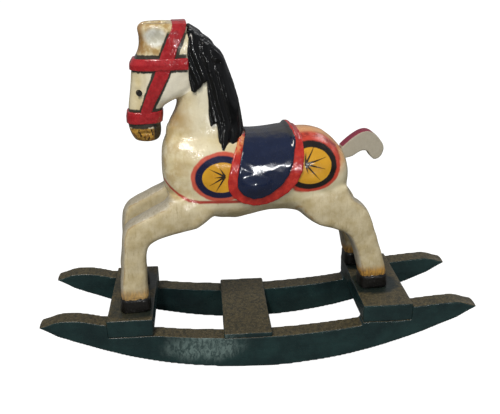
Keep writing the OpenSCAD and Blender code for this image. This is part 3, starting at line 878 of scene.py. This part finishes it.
# ---------- the layers on the body ----------
def tree_of(objs):
    """The outside of these pieces, in the horse's coordinates."""
    verts, faces = [], []
    for obj in objs:
        base = len(verts)
        verts += [v.co.copy() for v in obj.data.vertices]
        faces += [[base + i for i in f.vertices] for f in obj.data.polygons]
    return BVHTree.FromPolygons(verts, faces)


def seat_down(obj, tree, depth=0.9, near=0.12):
    """Presses the underside of a raised layer into the wood so that no gap shows."""
    co = points(obj)
    for i, c in enumerate(co):
        spot, normal, _, _ = tree.find_nearest(Vector(c))
        if spot is None:
            continue
        height = (Vector(c) - spot).dot(normal) / MM
        if height < near:
            co[i] = np.array(spot - normal * (depth * MM))
    put(obj, co)


def raised(name, node, voxel, smooth, tree, shape, before=None):
    obj = remeshed(gathered(name, [node], HORSE), voxel * MM)
    if before is not None:
        before(obj)
    relax(obj, smooth)
    co = points(obj)
    co += normals(obj) * (shape(co / MM) * MM)[:, None]
    put(obj, co)
    seat_down(obj, tree)
    return obj


FINE_STRAND, BROAD_STRAND = 1.9, 5.1
TIPS_DROP, TIPS_SPREAD = 4.2, 1.5


def mane_locks(p):
    """Grooves between the strands, which fall down the neck and forwards at their tips."""
    x, y, z = p.T
    across = y + 0.30 * (z - 190) + np.abs(x) * 0.9 + 1.3 * waves(p, 16, 5)
    fine = np.abs(np.sin(across * math.pi / FINE_STRAND))
    broad = np.abs(np.sin(across * math.pi / BROAD_STRAND + 0.6))
    return 0.16 * fine ** 0.7 + 0.95 * broad - 0.75


def longer_tips(obj):
    """The last lock reaches down beside the saddle, following the flank outwards."""
    co = points(obj)
    low = ramp(co[:, 2] / MM, 170, 154)
    co[:, 2] -= TIPS_DROP * MM * low
    co[:, 0] += np.sign(co[:, 0]) * TIPS_SPREAD * MM * low
    put(obj, co)


def cantle(p):
    """The saddle's rear edge curls up where it crosses the back."""
    return 3.0 * ramp(np.abs(p[:, 1] - 24.2), 4.0, 0) * ramp(p[:, 2], 150, 158)


def seat_swell(p):
    """The flap bulges low down on each side."""
    _, y, z = p.T
    low = ramp(np.sqrt(((y + 4.5) / 12) ** 2 + ((z - 129) / 8) ** 2), 1.15, 0.1)
    return 1.9 * low + 0.06 * waves(p, 12, 7) + cantle(p)


def uneven(p):
    return 0.14 * waves(p, 6, 9) + 0.06 * waves(p, 3, 11)


def border_shape(p):
    return uneven(p) + cantle(p)


CREASE = math.radians(50)

made = make_body()
wood = tree_of(made.values())
for name, obj in made.items():
    if name == "head":
        hand_in(obj, [name], head_material())
    elif name == "neck":
        hand_in(obj, [name], neck_material())
    else:
        slot = "cream_paint" if name == "torso" else "leg_paint"
        hand_in(obj, [name], flank_material("painted " + name.replace("_", " ")))
    obj.data.set_sharp_from_angle(angle=CREASE)

mane = raised("mane_locks", "mane", 0.42, 3, wood, mane_locks, longer_tips)
hand_in(mane, ["mane"], mane_material())

RED, SKIRT, SEAT = red_material(), skirt_material(), seat_material()
# each layer: its name, its CAD node, the mesh's fineness, smoothing, shape, slot and material
for name, node, voxel, smooth, shape, slot, material in (
    ("saddle_border", "saddle_skirt", 0.42, 3, border_shape, "red_paint", SKIRT),
    ("saddle_flap", "saddle_seat", 0.45, 12, seat_swell, "blue_paint", SEAT),
    ("head_strap", "headstall", 0.36, 2, uneven, "red_paint", RED),
    ("brow_strap", "browband", 0.36, 2, uneven, "red_paint", RED),
    ("nose_strap", "noseband", 0.36, 2, uneven, "red_paint", RED),
):
    hand_in(raised(name, node, voxel, smooth, wood, shape), [node], material)

TAIL_VOXEL = 0.45
tail = remeshed(gathered("horse_tail", ["tail"], HORSE), TAIL_VOXEL * MM)
relax(tail, 4)
hand_in(tail, ["tail"], tail_material())

# ---------- the base ----------
BASE = base_material()
BOARD_VOXEL = 0.8
TIP_STRETCH = 2.3
FIRST_SEED = 20


def near_tips(q):
    return ramp(np.abs(q[:, 1]), 136, 146)


def make_board(node, seed):
    """A rocker, a hoof board or the plank, a little uneven; the rockers' tips are rounded."""
    obj = remeshed(gathered("base_" + node, [node], Matrix.Identity(4)), BOARD_VOXEL * MM)
    relax(obj, 1)
    across = points(obj)[:, 0]
    relax(obj, 120, where=near_tips)
    co = points(obj)
    co[:, 0] = across
    # the rounding shortens the tips, so they are drawn out again
    co[:, 1] += np.sign(co[:, 1]) * TIP_STRETCH * MM * ramp(np.abs(co[:, 1]) / MM, 118, 144)
    p = co / MM
    out = 0.12 * waves(p, 22, seed) + 0.06 * waves(p, 7, seed + 1)
    co += normals(obj) * (out * MM)[:, None]
    put(obj, co)
    hand_in(obj, [node], BASE)


BOARDS = ("rocker_left", "rocker_right", "front_hoof_board", "middle_slat", "rear_hoof_board")
for place, node in enumerate(BOARDS):
    make_board(node, FIRST_SEED + 2 * place)

STEEL, DOWEL = steel_material(), dowel_material()
for node, material in (
    ("board_nails", STEEL),
    ("slat_nails", STEEL),
    ("hoof_screws", STEEL),
    ("leg_dowels", DOWEL),
    ("neck_dowel", DOWEL),
    ("head_dowel", DOWEL),
    ("eyes", eye_material()),
):
    NODES[node].data.materials.clear()
    NODES[node].data.materials.append(material)


# ---------- floor and light ----------
FLOOR_SIZE = 6
WHITE = (1, 1, 1, 1)
BACKDROP_STRENGTH = 1.05
SOFT_STRENGTH = 0.3
LIGHT_AIM = Vector((0, 0, 0.12))


def make_floor():
    bm = bmesh.new()
    bmesh.ops.create_grid(bm, x_segments=2, y_segments=2, size=FLOOR_SIZE)
    mesh = bpy.data.meshes.new("floor")
    bm.to_mesh(mesh)
    bm.free()
    floor = show("floor", mesh, Matrix.Identity(4))
    p = Paint("pale floor")
    material = p.done(p.mix(p.noise(300, 2, 0.5), "7C7C7A", "747472"), 0.9, specular=0.1)
    # the floor looks white without lighting the toy from below
    shader = next(n for n in p.tree.nodes if n.type == "BSDF_PRINCIPLED")
    shader.inputs["Emission Color"].default_value = WHITE
    seen = p.node("LightPath").outputs["Is Camera Ray"]
    p.tree.links.new(seen, shader.inputs["Emission Strength"])
    floor.data.materials.append(material)


def make_light(name, spot, size, watts, warm="FFFFFF"):
    data = bpy.data.lights.new(name, "AREA")
    data.shape, data.size, data.energy = "DISK", size, watts
    data.color = tone(warm)[:3]
    lamp = bpy.data.objects.new(name, data)
    bpy.context.scene.collection.objects.link(lamp)
    lamp.location = spot
    lamp.rotation_mode = "QUATERNION"
    aim = LIGHT_AIM - Vector(spot)
    lamp.rotation_quaternion = aim.to_track_quat("-Z", "Y")


def make_world():
    """White where it is seen, and soft and dimmer where it lights the toy."""
    world = bpy.data.worlds.new("studio")
    bpy.context.scene.world = world
    world.use_nodes = True
    tree = world.node_tree
    tree.nodes.clear()
    seen = tree.nodes.new("ShaderNodeBackground")
    seen.inputs["Color"].default_value = WHITE
    seen.inputs["Strength"].default_value = BACKDROP_STRENGTH
    soft = tree.nodes.new("ShaderNodeBackground")
    soft.inputs["Color"].default_value = tone("F3F5FA")
    soft.inputs["Strength"].default_value = SOFT_STRENGTH
    path = tree.nodes.new("ShaderNodeLightPath")
    mix = tree.nodes.new("ShaderNodeMixShader")
    out = tree.nodes.new("ShaderNodeOutputWorld")
    tree.links.new(path.outputs["Is Camera Ray"], mix.inputs[0])
    tree.links.new(soft.outputs[0], mix.inputs[1])
    tree.links.new(seen.outputs[0], mix.inputs[2])
    tree.links.new(mix.outputs[0], out.inputs[0])


make_floor()
make_world()
# the key and fill light the toy; the small ones only leave sparks on the gloss
make_light("key", (0.9, -0.5, 1.5), 0.6, 19, "FFF8EE")
make_light("spark", (0.95, -0.25, 0.85), 0.05, 1.7)
make_light("flash", (0.62, -0.16, 0.50), 0.022, 0.35)
make_light("low_spark", (0.9, 0.25, 0.22), 0.03, 0.9)
make_light("fill", (-0.8, 1.0, 1.2), 0.8, 5)
bpy.context.scene.view_settings.view_transform = "Standard"
